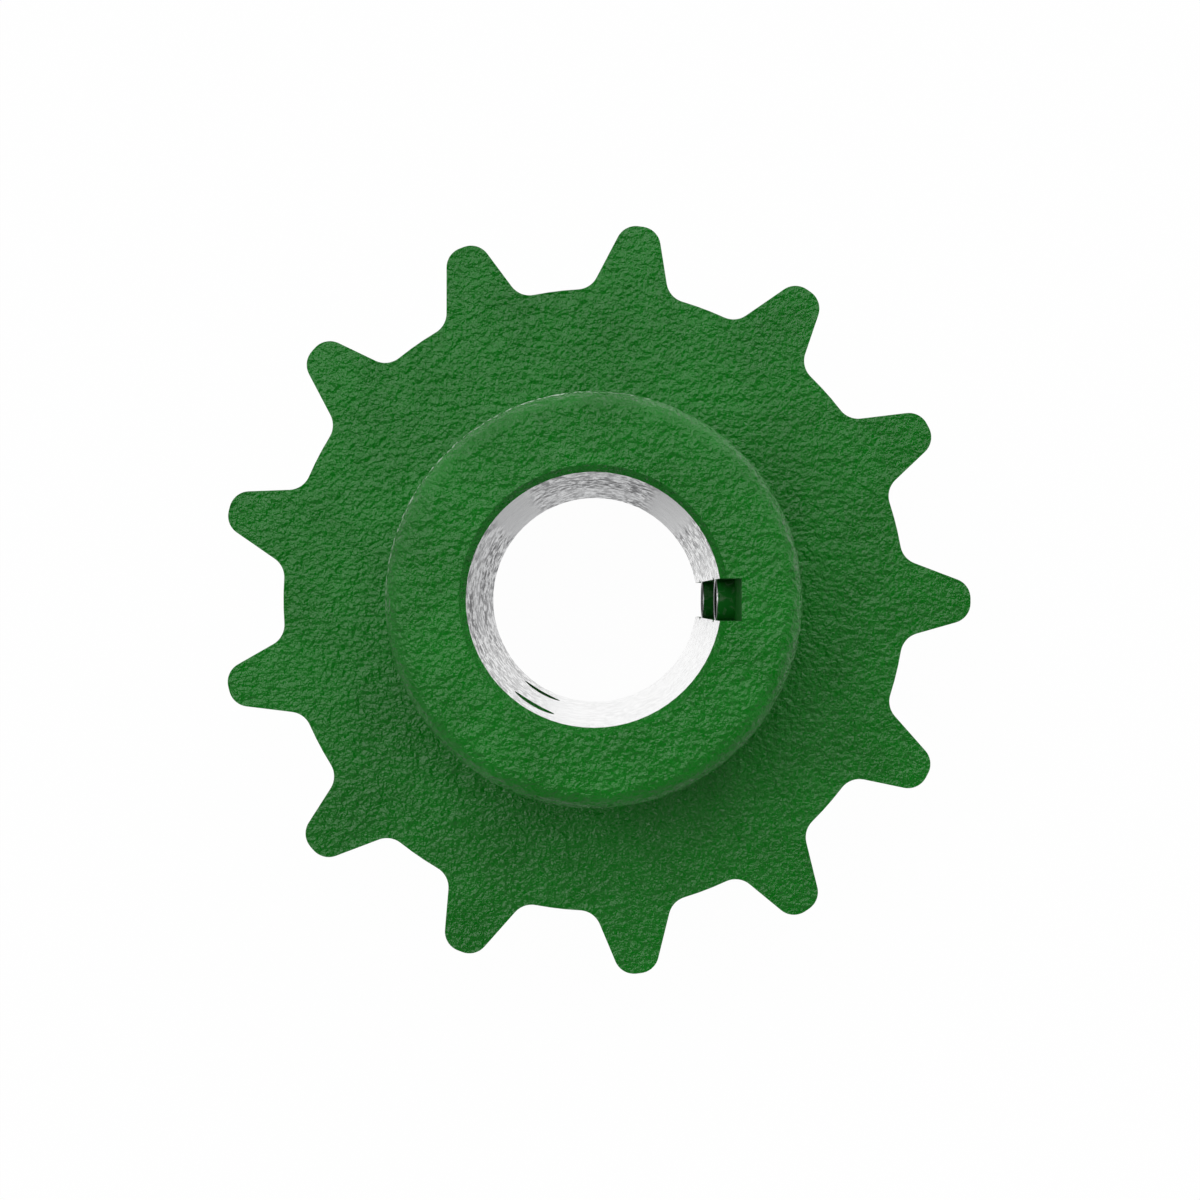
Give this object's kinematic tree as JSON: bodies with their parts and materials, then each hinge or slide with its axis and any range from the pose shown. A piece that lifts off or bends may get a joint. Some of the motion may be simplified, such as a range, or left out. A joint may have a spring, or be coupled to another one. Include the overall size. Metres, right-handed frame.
{
  "type": "chain sprocket",
  "caption": "Cast chain sprocket with a long round hub on both sides of the tooth plate, a keyed bore and socket set screws that hold it on its shaft.",
  "frame": {"origin": "on the bore axis, at the middle of the tooth plate", "axes": "+Z along the bore axis out of the front face of the hub; +X through the middle of the keyway and of the tooth above it"},
  "size_m": [0.1836, 0.1848, 0.0984],
  "materials": {
    "cast_paint": "rough cast steel under semi-gloss green paint; the bore is bare machined steel",
    "screw_paint": "steel set screw with green paint on its sides and bare ends"
  },
  "bodies": {
    "root": {"sprocket": "cast_paint", "key_screw_front": "screw_paint", "key_screw_back": "screw_paint", "side_screw_front": "screw_paint", "side_screw_back": "screw_paint"}
  },
  "joints": []
}
